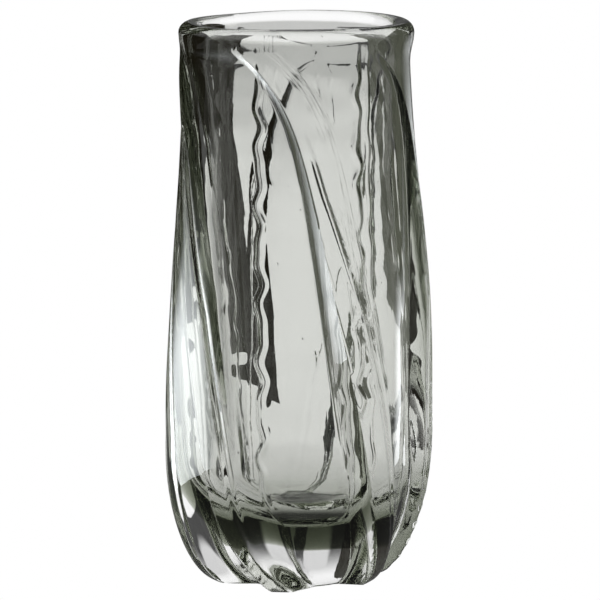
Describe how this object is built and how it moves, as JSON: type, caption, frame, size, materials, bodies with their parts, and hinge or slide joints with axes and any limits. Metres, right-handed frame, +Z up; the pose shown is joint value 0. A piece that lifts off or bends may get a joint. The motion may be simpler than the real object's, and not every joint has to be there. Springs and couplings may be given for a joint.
{
  "type": "vase",
  "caption": "Tall free-standing cased glass vase: a smoked cup inside a heavy clear casing with twisted ribs that end as toes at a flat base.",
  "frame": {"origin": "centre of the flat ground base", "axes": "+Z up along the vase's axis to the mouth, front towards -Y"},
  "size_m": [0.1422, 0.1351, 0.3],
  "materials": {
    "smoked_glass": "smoked grey-green transparent glass, blown, gently rippled inside, glossy",
    "clear_glass": "clear colourless glass, fire polished, a few seed bubbles, ground flat under the base"
  },
  "bodies": {
    "root": {"smoked_cup": "smoked_glass", "clear_casing": "clear_glass", "rib_front": "clear_glass", "rib_right": "clear_glass", "rib_back_right": "clear_glass", "rib_back_left": "clear_glass", "rib_left": "clear_glass", "rib_front_left": "clear_glass"}
  },
  "joints": []
}
